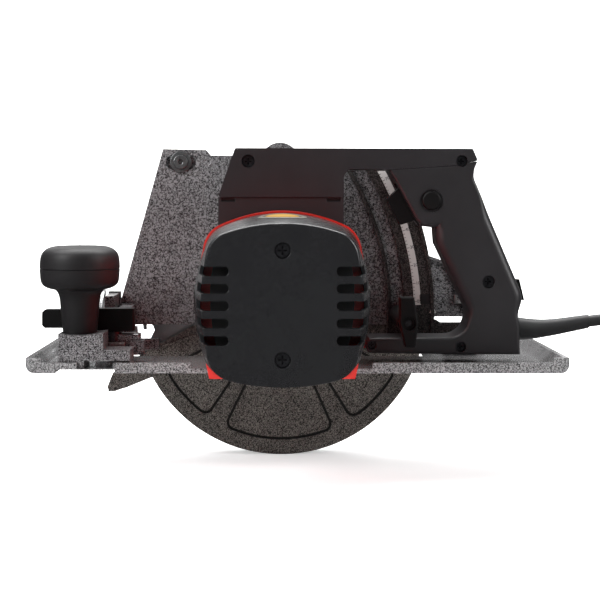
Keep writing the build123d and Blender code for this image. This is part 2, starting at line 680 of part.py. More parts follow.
def depth_quadrant():
    start, end = -6.0, 35.5
    plate = sector(PIVOT, 243.5, 286, start, end) - Pos(100, 291) * Rectangle(300, 200)
    half = QUADRANT_SLOT / 2
    slot_ends = (-1.0, DEPTH_SWING + 0.5)
    slot = sector(PIVOT, QUADRANT_R - half, QUADRANT_R + half, *slot_ends)
    for angle in slot_ends:
        slot += disc(*about(PIVOT, QUADRANT_R, angle), half)
    body = slab(plate - slot, -24, -20)
    rim = sector(PIVOT, 283, 286, start, 30) + sector(PIVOT, 243.5, 246, start, 34)
    body += slab(rim, -25.5, -20)
    foot = polygon((108, 16), (180, 16), (180, 33.4), (146, 33.4), (142, 36), (122, 36), (108, 24))
    body += slab(foot, -24, -18)
    body += block(158, 180, -24, 0, BEVEL_Z - 4, BEVEL_Z + 10)
    body += rod_x(0, BEVEL_Z, 7.5, 158, 180)
    return body - rod_x(0, BEVEL_Z, 4 + RUN, 150, 190)


def depth_scale():
    band = sector(PIVOT, 267.4, 273.9, 1.5, 31)
    return slab(band, -24.5, -24)


def depth_stud():
    """Shoulder stud from the guard wall, through the quadrant, to the lever."""
    return rod(STUD_X, STUD_Z, 5, -104, -13.4) + rod(STUD_X, STUD_Z, 3 - RUN, -112.5, -104)


def lever_spacer():
    return ring(STUD_X, STUD_Z, 8.5, 5, -103.5, -25.8)


def depth_lever():
    wing = polygon((99.5, 63.7), (111.5, 63.6), (114.8, 41.6), (112.6, 21.1), (104, 21.1), (99.3, 41.1))
    body = fillet(slab(wing, -116, -104.1).edges().filter_by(Axis.Y), 1.5)
    body = chamfer(body.faces().sort_by(Axis.Y)[0].edges(), 1)
    return body - rod(STUD_X, STUD_Z, 6, -117, -113) - rod(STUD_X, STUD_Z, 3, -118, -100)


# Shoe

KNOB_FOOT = (-187.8, -150.0)


def shoe():
    x0, x1 = SHOE_X
    y0, y1 = SHOE_Y
    plan = fillet(block(x0, x1, y0, y1, -1, LIP_H + 1).edges().filter_by(Axis.Z), 10)
    side = rounded([(x0, 0), (x1, 0), (x1, LIP_H), (x0, LIP_H)], {0: 9.0, 1: 9.0, 2: 2.5, 3: 2.5})
    flat, flare = 15, 5
    top = LIP_H + 2
    well = rounded([(x0 + flat, SHOE_T), (x1 - flat, SHOE_T), (x1 - flare, top), (x0 + flare, top)], {0: 5, 1: 5})
    tray = slab(well, y0 + 3, y1 - 3)
    low_edge = block(x0 + 15, x1 - 15, y0 - 1, y1 + 1, EDGE_H, LIP_H + 1)
    plate = (slab(side, y0, y1) & plan) - tray - low_edge
    plate -= block(*SLOT_X, *SLOT_Y, -1, 20)
    plate -= block(-76, 76, y0 - 1, -56, SHOE_T, 20)
    plate += block(-198, 224, 38.5, 41.5, SHOE_T - 0.5, SHOE_T + 2.5)
    plate -= block(-190, -140, y0 - 1, y0 + 30, -1, SHOE_T - 1)
    plate += block(-200, -190, -9, 9, SHOE_T - 1, BEVEL_Z + 8)
    plate += block(151, 157, -9, 9, SHOE_T - 1, BEVEL_Z + 8)
    plate += block(181, 189, -9, 9, SHOE_T - 1, BEVEL_Z + 8)
    plate -= rod_x(0, BEVEL_Z, 4, -205, -180) + rod_x(0, BEVEL_Z, 4, 150, 195)
    plate -= block(-172, -141.5, y0 - 1, y1 + 1, SHOE_T, EDGE_H + 4)
    return plate


def bevel_quadrant():
    """Arc plate of the bevel setting, standing on the shoe, with the hinge pin's hole."""
    outer = sector((0, BEVEL_Z), CLAMP_R - 8, CLAMP_R + 8, 112, 174)
    foot = polygon((-58, SHOE_T), (9, SHOE_T), (9, 20), (-9, 22), (-41, 22), (-58, 18))
    face = outer + foot
    first = 180 - CLAMP_ANGLE
    slot = sector((0, BEVEL_Z), CLAMP_R - 3.2, CLAMP_R + 3.2, first - BEVEL_SWING, first)
    ends = [disc(*clamp_point(a), 3.2) for a in (CLAMP_ANGLE, CLAMP_ANGLE + BEVEL_SWING)]
    face -= slot + ends[0] + ends[1]
    return plate_x(face, -165, -161) - rod_x(0, BEVEL_Z, 4, -170, -150)


def bevel_pins():
    return [rod_x(0, BEVEL_Z, 4, -203, -135), rod_x(0, BEVEL_Z, 4, 149, 191)]


def knob_block():
    """Casting under the front knob; the rip guide's bar slides through the gap below it."""
    x0, x1 = KNOB_FOOT
    body = block(x0, x1, -118, -86, EDGE_H, 33.3)
    body += block(x1 - 2, -127.3, -118, -90, 10.2, 19.4)
    body += block(-171.8, -166, -118, -86, SHOE_T, 12) + block(-141.5, -127.3, -116.9, -90, SHOE_T, 12)
    saddle = rod(KNOB[0], 182, 150, -119, -80) + rod_z(*KNOB, 15.4, 31.8, 36)
    body += block(x0, -180, -116.9, -86, SHOE_T, 12)
    return body - saddle - block(-166, -141.5, -120, -80, 0, 10.2) - rod_z(*KNOB, 4, 0, 40)


def front_knob():
    """Mushroom knob: waisted stem, rounded head in two halves with a seam."""
    stem = Spline((14.4, 33), (15.3, 41), (16.3, 52), (17.3, 62), (19, 67), (21.7, 69.4))
    lower = Spline((21.7, 69.4), (27.5, 70.8), (31.6, 73.6), (33.3, 78.5), (33.9, 86.6))
    upper = Spline((33.9, 87.4), (33.4, 95.6), (31.8, 100.3), (27.8, 104), (20, 106.2), (0, 107.1))
    seam = Polyline((33.9, 86.6), (33.3, 87), (33.9, 87.4))
    base = Polyline((0, 107.1), (0, 31.8), (14.3, 31.8), (14.4, 33))
    knob = revolve(Plane.XZ * make_face([stem, lower, seam, upper, base]), Axis.Z)
    return Pos(KNOB[0], KNOB[1], 0) * knob - rod_z(*KNOB, 4, 30, 80)


def bevel_lever():
    arm = block(-208.5, -160, -80, -68, 34, 50)
    arm = chamfer(arm.edges().filter_by(Axis.Y), 2.5)
    hub = chamfer(block(-161, -128.3, -80.5, -67, 31.5, 51).edges().filter_by(Axis.Z), 1.2)
    collar = rod_z(*LEVER, 6.4, 30.6, 32)
    return arm + hub + collar - rod_z(*LEVER, 3 + RUN, 25, 46.5)


def write(parts):
    os.makedirs("parts", exist_ok=True)
    for name, shape in parts.items():
        if isinstance(shape, (list, tuple)):
            shape = Compound(children=list(shape))
        export_step(shape, f"parts/{name}.step")


holders, carbons, caps = brush_gear()

write({
    "upper_guard": upper_guard(),
    "chip_deflector": chip_deflector(),
    "deflector_screw": deflector_screw(),
    "lower_guard": lower_guard(),
    "guard_retainer": guard_retainer(),
    "guard_spring": guard_spring(),
    "saw_blade": saw_blade(),
    "spindle_shaft": spindle_shaft(),
    "spindle_gear": spindle_gear(),
    "blade_flanges": blade_flanges(),
    "blade_bolt": blade_bolt(),
    "spindle_bearings": spindle_bearings(),
    "gear_case": gear_case(),
    "gear_case_screws": gear_case_screws(),
    "spindle_lock": spindle_lock(),
    "motor_housing": motor_housing(),
    "bearing_bracket": bearing_bracket(),
    "field_core": field_core(),
    "field_windings": field_windings(),
    "armature_shaft": armature_shaft(),
    "armature_core": armature_core(),
    "armature_windings": armature_windings(),
    "commutator": commutator(),
    "cooling_fan": cooling_fan(),
    "air_baffle": air_baffle(),
    "armature_bearings": armature_bearings(),
    "brush_holders": holders,
    "carbon_brushes": carbons,
    "brush_caps": caps,
    "motor_end_cap": motor_end_cap(),
    "end_cap_screws": end_cap_screws(),
    "handle_bar": handle_bar(),
    "handle_saddle": handle_saddle(),
    "grip_left": grip_half(HANDLE_Y[0], HANDLE_MID, "high"),
    "grip_right": grip_half(HANDLE_MID, HANDLE_Y[1], "low"),
    "handle_screws": handle_screws(),
    "trigger": trigger(),
    "switch_body": switch_body(),
    "lock_button": lock_button(),
    "wrench_clip": wrench_clip(),
    "cord_boot": cord_boot(),
    "cord_lead": cord_lead(),
    "cord_coil": cord_coil(),
    "plug_body": plug_body(),
    "plug_prongs": plug_prongs(),
    "front_bracket": front_bracket(),
    "depth_pivot_pin": depth_pivot_pin(),
    "bevel_clamp_bolt": bevel_clamp_bolt(),
    "bevel_stud": bevel_stud(),
    "depth_quadrant": depth_quadrant(),
    "depth_scale": depth_scale(),
    "depth_stud": depth_stud(),
    "lever_spacer": lever_spacer(),
    "depth_lever": depth_lever(),
    "shoe": shoe(),
    "bevel_quadrant": bevel_quadrant(),
    "bevel_pins": bevel_pins(),
    "knob_block": knob_block(),
    "front_knob": front_knob(),
    "bevel_lever": bevel_lever(),
})
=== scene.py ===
import math

import bmesh
import bpy
from mathutils import Matrix, Vector


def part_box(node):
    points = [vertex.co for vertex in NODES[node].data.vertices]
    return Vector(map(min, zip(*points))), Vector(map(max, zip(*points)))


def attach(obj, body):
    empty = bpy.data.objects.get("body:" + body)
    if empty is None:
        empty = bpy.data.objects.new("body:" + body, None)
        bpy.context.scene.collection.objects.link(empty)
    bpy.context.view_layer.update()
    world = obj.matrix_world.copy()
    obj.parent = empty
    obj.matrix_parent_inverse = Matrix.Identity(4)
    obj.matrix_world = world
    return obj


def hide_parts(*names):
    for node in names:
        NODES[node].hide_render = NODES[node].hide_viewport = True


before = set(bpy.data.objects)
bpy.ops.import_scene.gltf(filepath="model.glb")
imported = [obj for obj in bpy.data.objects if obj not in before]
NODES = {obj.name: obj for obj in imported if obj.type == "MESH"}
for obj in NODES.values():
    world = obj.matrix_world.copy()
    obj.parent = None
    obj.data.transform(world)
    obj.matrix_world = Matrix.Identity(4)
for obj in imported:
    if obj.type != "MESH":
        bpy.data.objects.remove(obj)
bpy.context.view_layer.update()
MM = 0.001


def box_mm(node):
    """A node's lowest and highest corners, in millimetres."""
    low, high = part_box(node)
    return low / MM, high / MM


def smooth_step(value, low, high):
    share = min(max((value - low) / (high - low), 0), 1)
    return share * share * (3 - 2 * share)


# Camera

CAMERA_DISTANCE = 1.150
CAMERA_AT = (-0.00566, -CAMERA_DISTANCE, 0.1411)
LENS_SHIFT = (1 / 24, -19 / 120)

camera_data = bpy.data.cameras.new("camera")
camera_data.sensor_width = 36
camera_data.lens = 73.79
camera_data.shift_x, camera_data.shift_y = LENS_SHIFT
camera = bpy.data.objects.new("camera", camera_data)
bpy.context.scene.collection.objects.link(camera)
camera.location = CAMERA_AT
camera.rotation_euler = (math.radians(90), 0, 0)
bpy.context.scene.camera = camera


# Materials

def linear(code):
    """The linear colour of a #rrggbb code."""
    parts = [int(code[i:i + 2], 16) / 255 for i in (1, 3, 5)]
    return tuple(c / 12.92 if c < 0.04045 else ((c + 0.055) / 1.055) ** 2.4 for c in parts) + (1.0,)


class Paint:
    """A material being built: its node tree, its shader and short ways to add nodes."""

    def __init__(self, name, **sockets):
        self.material = bpy.data.materials.new(name)
        self.material.use_nodes = True
        self.tree = self.material.node_tree
        self.shader = self.tree.nodes["Principled BSDF"]
        for key, value in sockets.items():
            self.shader.inputs[key.replace("_", " ")].default_value = value
        self.place = self.add("ShaderNodeTexCoord").outputs["Object"]

    def add(self, kind, **settings):
        node = self.tree.nodes.new(kind)
        for key, value in settings.items():
            setattr(node, key, value)
        return node

    def link(self, source, target):
        self.tree.links.new(source, target)

    def noise(self, per_metre, detail=3.0, roughness=0.6, place=None):
        node = self.add("ShaderNodeTexNoise")
        node.inputs["Scale"].default_value = per_metre
        node.inputs["Detail"].default_value = detail
        node.inputs["Roughness"].default_value = roughness
        self.link(place or self.place, node.inputs["Vector"])
        return node.outputs["Fac"]

    def ramp(self, source, stops):
        node = self.add("ShaderNodeValToRGB")
        self.link(source, node.inputs["Fac"])
        elements = node.color_ramp.elements
        while len(elements) < len(stops):
            elements.new(0.5)
        for element, (position, colour) in zip(elements, stops):
            element.position = position
            element.color = linear(colour) if isinstance(colour, str) else (colour, colour, colour, 1)
        return node.outputs["Color"]

    def darkened(self, colour, shade):
        """One colour multiplied by another."""
        node = self.add("ShaderNodeMix", data_type="RGBA", blend_type="MULTIPLY")
        node.inputs[0].default_value = 1.0
        self.link(colour, node.inputs[6])
        self.link(shade, node.inputs[7])
        return node.outputs[2]

    def painted_crease_shade(self, colour, reach_mm, dark=0.2, full=0.95):
        """A colour darkened where surfaces meet within this reach: painted shade, from an ambient occlusion
        node.
        """
        crease = self.add("ShaderNodeAmbientOcclusion", samples=6)
        crease.inputs["Distance"].default_value = reach_mm * MM
        return self.darkened(colour, self.ramp(crease.outputs["AO"], [(0.3, dark), (full, 1.0)]))

    def sum(self, first, second, share=1.0):
        node = self.add("ShaderNodeMath", operation="MULTIPLY_ADD")
        self.link(second, node.inputs[0])
        node.inputs[1].default_value = share
        self.link(first, node.inputs[2])
        return node.outputs[0]

    def colour(self, source):
        self.link(source, self.shader.inputs["Base Color"])

    def roughness(self, source, low, high):
        node = self.add("ShaderNodeMapRange")
        self.link(source, node.inputs["Value"])
        node.inputs["To Min"].default_value = low
        node.inputs["To Max"].default_value = high
        self.link(node.outputs["Result"], self.shader.inputs["Roughness"])

    def bump(self, height, depth_mm, strength=1.0):
        node = self.add("ShaderNodeBump")
        node.inputs["Strength"].default_value = strength
        node.inputs["Distance"].default_value = depth_mm * MM
        self.link(height, node.inputs["Height"])
        self.link(node.outputs["Normal"], self.shader.inputs["Normal"])


VEINS = [(0.36, 1.0), (0.44, 0.65), (0.476, 0.0), (0.514, 0.0), (0.55, 0.65), (0.66, 1.0)]


def hammertone(name, low, middle, high, cell_mm, depth_mm=0.25, coat=0.35, rough=(0.42, 0.28), painted_shade_y=None):
    """Hammered enamel: grey lumps parted by dark veins.

    Two y may be given for painted shade: the colour fades to near black from the first to the second, and
    stays so beyond it.
    """
    paint = Paint(name, Metallic=0.3, Coat_Weight=coat, Coat_Roughness=0.2)
    height = paint.ramp(paint.noise(1000 / cell_mm, detail=1.5, roughness=0.55), VEINS)
    tint = paint.ramp(height, [(0.05, low), (0.5, middle), (1.0, high)])
    cloud = paint.ramp(paint.noise(28, detail=2), [(0.35, 0.85), (0.65, 1.0)])
    colour = paint.darkened(tint, cloud)
    # Painted shade: darker with depth in y, near black past the second y.
    if painted_shade_y:
        split = paint.add("ShaderNodeSeparateXYZ")
        paint.link(paint.place, split.inputs[0])
        depth = paint.add("ShaderNodeMapRange")
        paint.link(split.outputs["Y"], depth.inputs["Value"])
        depth.inputs["From Min"].default_value = painted_shade_y[0] * MM
        depth.inputs["From Max"].default_value = painted_shade_y[1] * MM
        colour = paint.darkened(colour, paint.ramp(depth.outputs["Result"], [(0.0, 1.0), (1.0, 0.08)]))
    # Painted shade in creases.
    paint.colour(paint.painted_crease_shade(colour, 4.5))
    paint.roughness(height, *rough)
    paint.bump(height, depth_mm, 0.6)
    return paint.material


def moulded(name, base, worn, grain_mm=0.35, depth_mm=0.03, rough=(0.42, 0.56), specular=0.4):
    """Moulded plastic with a fine spark-eroded grain and faint handling marks."""
    paint = Paint(name, Specular_IOR_Level=specular)
    grain = paint.noise(1000 / grain_mm, detail=2)
    cloud = paint.noise(16, detail=4)
    paint.colour(paint.ramp(cloud, [(0.3, base), (0.8, worn)]))
    paint.roughness(paint.sum(cloud, grain, 0.4), *rough)
    paint.bump(grain, depth_mm, 0.6)
    return paint.material


def glossy_red(name):
    paint = Paint(name, Coat_Weight=0.6, Coat_Roughness=0.08)
    cloud = paint.noise(22, detail=3)
    red = paint.ramp(cloud, [(0.3, "#c8180f"), (0.75, "#e62a19")])
    # Painted shade in the housing's slots and creases.
    paint.colour(paint.painted_crease_shade(red, 12, 0.04, 0.6))
    paint.roughness(paint.noise(900), 0.3, 0.42)
    paint.bump(paint.noise(600), 0.02, 0.4)
    return paint.material


def metal(name, low, high, rough=(0.28, 0.42), per_metre=500, depth_mm=0.01):
    """Bare or plated metal with a machined or brushed grain."""
    paint = Paint(name, Metallic=0.95)
    lines = paint.noise(per_metre, detail=5)
    stain = paint.noise(40, detail=4)
    grey = paint.ramp(paint.sum(lines, stain, 0.5), [(0.45, low), (1.0, high)])
    # Painted shade in creases.
    paint.colour(paint.painted_crease_shade(grey, 1.6, 0.05))
    paint.roughness(stain, *rough)
    paint.bump(lines, depth_mm, 0.5)
    return paint.material


def blade_metal(name):
    """Ground plate steel: fine circles about the arbor."""
    paint = Paint(name, Metallic=0.95)
    low, high = box_mm("saw_blade")
    split = paint.add("ShaderNodeSeparateXYZ")
    paint.link(paint.place, split.inputs[0])
    flat = paint.add("ShaderNodeCombineXYZ")
    paint.link(split.outputs["X"], flat.inputs["X"])
    drop = paint.add("ShaderNodeMath", operation="SUBTRACT")
    paint.link(split.outputs["Z"], drop.inputs[0])
    drop.inputs[1].default_value = (low.z + high.z) / 2 * MM
    paint.link(drop.outputs[0], flat.inputs["Y"])
    length = paint.add("ShaderNodeVectorMath", operation="LENGTH")
    paint.link(flat.outputs[0], length.inputs[0])
    radial = paint.add("ShaderNodeCombineXYZ")
    paint.link(length.outputs["Value"], radial.inputs["X"])
    rings = paint.noise(2600, detail=3, place=radial.outputs[0])
    stain = paint.noise(30, detail=5)
    paint.colour(paint.ramp(paint.sum(rings, stain, 0.6), [(0.45, "#8e9093"), (1.1, "#c9cbcc")]))
    paint.roughness(rings, 0.22, 0.4)
    paint.bump(rings, 0.01, 0.5)
    return paint.material


def copper(name):
    paint = Paint(name, Metallic=0.9)
    wires = paint.add("ShaderNodeTexWave", bands_direction="DIAGONAL")
    wires.inputs["Scale"].default_value = 320
    wires.inputs["Distortion"].default_value = 1.2
    paint.link(paint.place, wires.inputs["Vector"])
    paint.colour(paint.ramp(wires.outputs["Fac"], [(0.1, "#5b2a14"), (0.8, "#b5653a")]))
    paint.roughness(paint.noise(200), 0.3, 0.45)
    paint.bump(wires.outputs["Fac"], 0.2, 0.7)
    return paint.material


def laminated(name):
    paint = Paint(name, Metallic=0.8)
    sheets = paint.add("ShaderNodeTexWave", bands_direction="Y")
    sheets.inputs["Scale"].default_value = 300
    paint.link(paint.place, sheets.inputs["Vector"])
    paint.colour(paint.ramp(sheets.outputs["Fac"], [(0.2, "#303236"), (0.8, "#6c6f74")]))
    paint.roughness(paint.noise(300), 0.4, 0.55)
    paint.bump(sheets.outputs["Fac"], 0.1, 0.6)
    return paint.material


CAST = hammertone("cast_grey", "#060606", "#727072", "#9b999b", 2.0)
DARK_CAST = hammertone("cast_dark", "#020202", "#322e2c", "#575150", 1.8, 0.12)
GUARD_NEAR = box_mm("lower_guard")[0].y
# Painted shade on the lower guard: near black deeper than a few millimetres behind its near face.
GUARD_PAINTED_SHADE_Y = (GUARD_NEAR + 4.7, GUARD_NEAR + 5.2)
GUARD_CAST = hammertone("cast_guard", "#060505", "#5c5753", "#857e78", 1.7, 0.12, painted_shade_y=GUARD_PAINTED_SHADE_Y)
SHOE_CAST = hammertone("shoe_grey", "#080808", "#848384", "#adacad", 1.8, 0.08, 0.8, (0.3, 0.2))
BRIGHT_EDGE = metal("machined_edge", "#7d7c7d", "#c4c2c1", (0.3, 0.45))
RED = glossy_red("housing_red")
CAP = moulded("cap_black", "#171719", "#1d1d1f", 0.5, 0.02, (0.2, 0.3), 0.55)
HANDLE = moulded("handle_black", "#1d1b1d", "#242225", 0.4, 0.03, (0.34, 0.46), 0.5)
LEVER = moulded("lever_black", "#070607", "#0d0c0d", 0.3, 0.03, (0.4, 0.55), 0.25)
KNOB = moulded("knob_black", "#141214", "#1a181a", 0.4, 0.03, (0.42, 0.54), 0.35)
MOULDING = moulded("moulding_black", "#161617", "#1f1f20")
RUBBER = moulded("cord_rubber", "#161617", "#1e1e20", 0.6, 0.05, (0.42, 0.55), 0.45)
ALLOY = metal("case_alloy", "#7c7d80", "#a9aaab", (0.4, 0.55), per_metre=700, depth_mm=0.06)
STEEL = metal("steel", "#8c8d8f", "#c2c3c3", (0.2, 0.34))
ZINC = metal("screw_zinc", "#6e7072", "#a6a7a8", (0.25, 0.4))
BLACK_ZINC = metal("screw_black", "#303033", "#5f5f63", (0.3, 0.45))
BLADE = blade_metal("blade_steel")
IRON = laminated("core_iron")
COPPER = copper("copper")
CARBON = moulded("carbon", "#151515", "#242425", 0.8, 0.08, (0.5, 0.7), 0.3)
SCALE = moulded("scale_white", "#c9c8c6", "#dcdbd8", 0.6, 0.02, (0.35, 0.5), 0.4)
PRINT = moulded("scale_print", "#1a1a1b", "#29292a", 0.4, 0.01)


EDGE_MM = {"handle_bar": 1.4, "handle_saddle": 0.8, "motor_end_cap": 0.5, "bevel_lever": 0.8, "shoe": 0.6}


def soften_edges(node, width_mm):
    """Small rounds on a CAD piece's hard edges, as casting and moulding leave them."""
    weld = node.modifiers.new("weld", "WELD")
    weld.merge_threshold = 1e-6
    flat = node.modifiers.new("flat", "DECIMATE")
    flat.decimate_type = "DISSOLVE"
    flat.angle_limit = math.radians(0.4)
    bevel = node.modifiers.new("bevel", "BEVEL")
    bevel.limit_method = "ANGLE"
    bevel.angle_limit = math.radians(35)
    bevel.width = width_mm * MM
    bevel.segments = 2
    bevel.use_clamp_overlap = True
    normals = node.modifiers.new("normals", "WEIGHTED_NORMAL")
    normals.keep_sharp = True
    normals.weight = 80


LOOKS = {
    "upper_guard": CAST, "chip_deflector": CAST, "lower_guard": GUARD_CAST, "shoe": SHOE_CAST,
    "bevel_quadrant": SHOE_CAST, "front_bracket": CAST, "knob_block": CAST, "depth_quadrant": DARK_CAST,
    "motor_housing": RED, "motor_end_cap": CAP, "handle_bar": HANDLE, "handle_saddle": HANDLE,
    "grip_left": HANDLE, "grip_right": HANDLE, "front_knob": KNOB, "trigger": LEVER, "lock_button": LEVER,
    "depth_lever": LEVER, "bevel_lever": LEVER, "lever_spacer": LEVER, "wrench_clip": LEVER,
    "brush_caps": LEVER, "switch_body": MOULDING, "air_baffle": MOULDING, "brush_holders": MOULDING,
    "cooling_fan": MOULDING, "bearing_bracket": MOULDING, "gear_case": ALLOY, "saw_blade": BLADE,
    "field_core": IRON, "armature_core": IRON, "field_windings": COPPER, "armature_windings": COPPER,
    "commutator": COPPER, "carbon_brushes": CARBON,
    "depth_scale": SCALE, "cord_boot": RUBBER, "plug_body": RUBBER, "handle_screws": BLACK_ZINC,
    "end_cap_screws": BLACK_ZINC, "deflector_screw": ZINC, "blade_bolt": ZINC, "gear_case_screws": ZINC,
    "bevel_clamp_bolt": ZINC, "spindle_lock": ZINC, "bevel_stud": BLACK_ZINC, "depth_stud": BLACK_ZINC,
}

for name, node in NODES.items():
    node.data.materials.clear()
    node.data.materials.append(LOOKS.get(name, STEEL))
    soften_edges(node, EDGE_MM.get(name, 0.35))


# Cord

CORD_R = 0.005
ROUTE = [(268, -75, 39.5), (299, -75, 44), (329, -76, 34), (352, -79, 9), (367, -83, -26),
         (386, -87, -58), (413, -88, -77), (443, -87, -84.5)]
TURN_POINTS = 14
LAYERS = 3


def coil_points():
    """Turns about the coil's middle, each eased in from the last, then half a turn up to the plug's neck."""
    low, high = box_mm("cord_coil")
    middle = (low + high) / 2
    radius_mm = CORD_R / MM
    outer = high.x - middle.x - radius_mm
    inner = outer - 2 * radius_mm
    plug_low, plug_high = box_mm("plug_body")
    turns = []
    for layer in range(LAYERS):
        order = (outer, inner) if layer % 2 == 0 else (inner, outer)
        turns += [(radius, low.z + radius_mm * (1 + 2 * layer)) for radius in order]
    turns.append((inner, (plug_low.z + plug_high.z) / 2))
    points = []
    before = turns[0]
    for here in turns:
        last = here is turns[-1]
        for step in range(TURN_POINTS // 2 + 1 if last else TURN_POINTS):
            share = min(step / (TURN_POINTS / 2 if last else TURN_POINTS / 3), 1)
            eased = smooth_step(share, 0, 1)
            radius, z = (a + (b - a) * eased for a, b in zip(before, here))
            angle = math.radians(-90 + 360 * step / TURN_POINTS)
            points.append((middle.x + radius * math.cos(angle), middle.y + radius * math.sin(angle), z))
        before = here
    return points


def cord_curve(name, points, radius):
    curve = bpy.data.curves.new(name, "CURVE")
    curve.dimensions = "3D"
    curve.bevel_depth = radius
    curve.bevel_resolution = 4
    spline = curve.splines.new("NURBS")
    spline.points.add(len(points) - 1)
    for point, place in zip(spline.points, points):
        point.co = (*(Vector(place) * MM), 1)
    spline.order_u = 3
    spline.use_endpoint_u = True
    spline.resolution_u = 8
    piece = bpy.data.objects.new(name, curve)
    bpy.context.scene.collection.objects.link(piece)
    return piece


cord = cord_curve("power_cord", ROUTE + coil_points(), CORD_R)
cord.data.materials.append(RUBBER)
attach(cord, "saw")
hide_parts("cord_lead", "cord_coil")


# Tools for pieces

def piece_from(name, mesh, material, body, sharp=35):
    """A finished bmesh as a named piece that rides on a body, smooth but for its sharp edges."""
    bmesh.ops.recalc_face_normals(mesh, faces=mesh.faces)
    data = bpy.data.meshes.new(name)
    mesh.to_mesh(data)
    mesh.free()
    for face in data.polygons:
        face.use_smooth = True
    data.set_sharp_from_angle(angle=math.radians(sharp))
    data.materials.append(material)
    piece = bpy.data.objects.new(name, data)
    bpy.context.scene.collection.objects.link(piece)
    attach(piece, body)
    return piece


def skin(mesh, rings):
    """Closed rings of points, in millimetres, joined by quads and closed at both ends."""
    rows = [[mesh.verts.new(Vector(point) * MM) for point in ring] for ring in rings]
    count = len(rings[0])
    for low, high in zip(rows, rows[1:]):
        for i in range(count):
            j = (i + 1) % count
            mesh.faces.new((low[i], low[j], high[j], high[i]))
    mesh.faces.new(rows[0][::-1])
    mesh.faces.new(rows[-1])


def circle(x, z, radius, count=40):
    return [(x + radius * math.cos(math.tau * i / count), z + radius * math.sin(math.tau * i / count))
            for i in range(count)]


def at_y(points, y):
    return [(x, y, z) for x, z in points]


def prism(mesh, points, y0, y1):
    skin(mesh, [at_y(points, y0), at_y(points, y1)])


def lathe_y(mesh, x, z, profile, count=40):
    """Rings about an axis along Y, from pairs of radius and y."""
    skin(mesh, [at_y(circle(x, z, radius, count), y) for radius, y in profile])


def pad(mesh, low, high, round_mm):
    """A plate with its edges eased, between two corners."""
    (x0, y0, z0), (x1, y1, z1) = low, high
    rings = []
    for z, inset_by in ((z0, 0), (z1 - round_mm, 0), (z1, round_mm)):
        a, b, c, d = x0 + inset_by, x1 - inset_by, y0 + inset_by, y1 - inset_by
        e = round_mm
        rings.append([(a + e, c, z), (b - e, c, z), (b, c + e, z), (b, d - e, z),
                      (b - e, d, z), (a + e, d, z), (a, d - e, z), (a, c + e, z)])
    skin(mesh, rings)


def islands(node):
    """The boxes, in millimetres, of a CAD piece's separate solids."""
    mesh = bmesh.new()
    mesh.from_mesh(node.data)
    bmesh.ops.remove_doubles(mesh, verts=mesh.verts, dist=1e-6)
    left = set(mesh.verts)
    boxes = []
    while left:
        group, edge = [], [left.pop()]
        while edge:
            vert = edge.pop()
            group.append(vert.co / MM)
            for link in vert.link_edges:
                other = link.other_vert(vert)
                if other in left:
                    left.discard(other)
                    edge.append(other)
        boxes.append([Vector([pick(p[i] for p in group) for i in range(3)]) for pick in (min, max)])
    mesh.free()
    return sorted(boxes, key=lambda box: tuple(box[0]))


def loop_at(node, y_mm):
    """The outer outline of a CAD piece's section at this y: its points in x and z, anticlockwise."""
    mesh = bmesh.new()
    mesh.from_mesh(node.data)
    bmesh.ops.remove_doubles(mesh, verts=mesh.verts, dist=1e-6)
    everything = mesh.verts[:] + mesh.edges[:] + mesh.faces[:]
    section = bmesh.ops.bisect_plane(mesh, geom=everything, plane_co=(0, y_mm * MM, 0), plane_no=(0, 1, 0))
    edges = [e for e in section["geom_cut"] if isinstance(e, bmesh.types.BMEdge)]
    beside = {}
    for edge in edges:
        for vert in edge.verts:
            beside.setdefault(vert, []).append(edge.other_vert(vert))
    best, best_area, seen = [], 0, set()
    for start in beside:
        if start in seen:
            continue
        chain, here = [], start
        while here:
            seen.add(here)
            chain.append(Vector((here.co.x, here.co.z)) / MM)
            here = next((other for other in beside[here] if other not in seen), None)
        area = sum(a.cross(b) for a, b in zip(chain, chain[1:] + chain[:1])) / 2
        if abs(area) > best_area:
            best, best_area = chain if area > 0 else chain[::-1], abs(area)
    mesh.free()
    return best


def finer(points, longest):
    """The loop with its long edges divided."""
    result = []
    for a, b in zip(points, points[1:] + points[:1]):
        count = max(1, int((b - a).length / longest))
        result += [a.lerp(b, i / count) for i in range(count)]
    return result


def inset(points, amounts):
    """Each point of an anticlockwise loop moved inward by its own amount, with crossed neighbours parted."""
    moved = []
    befores, afters = points[-1:] + points[:-1], points[1:] + points[:1]
    for before, here, after, amount in zip(befores, points, afters, amounts):
        first, second = (here - before).normalized(), (after - here).normalized()
        normals = Vector((-first.y, first.x)), Vector((-second.y, second.x))
        moved.append(here + (normals[0] + normals[1]) * amount / max(1 + normals[0].dot(normals[1]), 0.4))
    for _ in range(40):
        turned = False
        for i, point in enumerate(moved):
            j = (i + 1) % len(moved)
            along = points[j] - points[i]
            if (moved[j] - point).dot(along) < -1e-4:
                moved[i] = (point + moved[j]) / 2 - along * 0.02
                moved[j] = (point + moved[j]) / 2 + along * 0.02
                turned = True
        if not turned:
            break
    return moved


def thinned(points, closest):
    """The loop without the points that crowd the one before."""
    result = [points[0]]
    for point in points[1:]:
        if (point - result[-1]).length >= closest:
            result.append(point)
    if (result[-1] - result[0]).length < closest:
        result.pop()
    return result


def cut(piece, cutter):
    """Takes a closed bmesh out of a piece."""
    bmesh.ops.recalc_face_normals(cutter, faces=cutter.faces)
    data = bpy.data.meshes.new("cutter")
    cutter.to_mesh(data)
    cutter.free()
    tool = bpy.data.objects.new("cutter", data)
    bpy.context.scene.collection.objects.link(tool)
    change = piece.modifiers.new("cut", "BOOLEAN")
    change.operation = "DIFFERENCE"
    change.solver = "EXACT"
    change.use_self = True
    change.object = tool
    result = bpy.data.meshes.new_from_object(piece.evaluated_get(bpy.context.evaluated_depsgraph_get()))
    piece.modifiers.clear()
    piece.data = result
    bpy.data.objects.remove(tool)


# Grip halves: deep rounds where the hand goes, small ones at the head and the foot

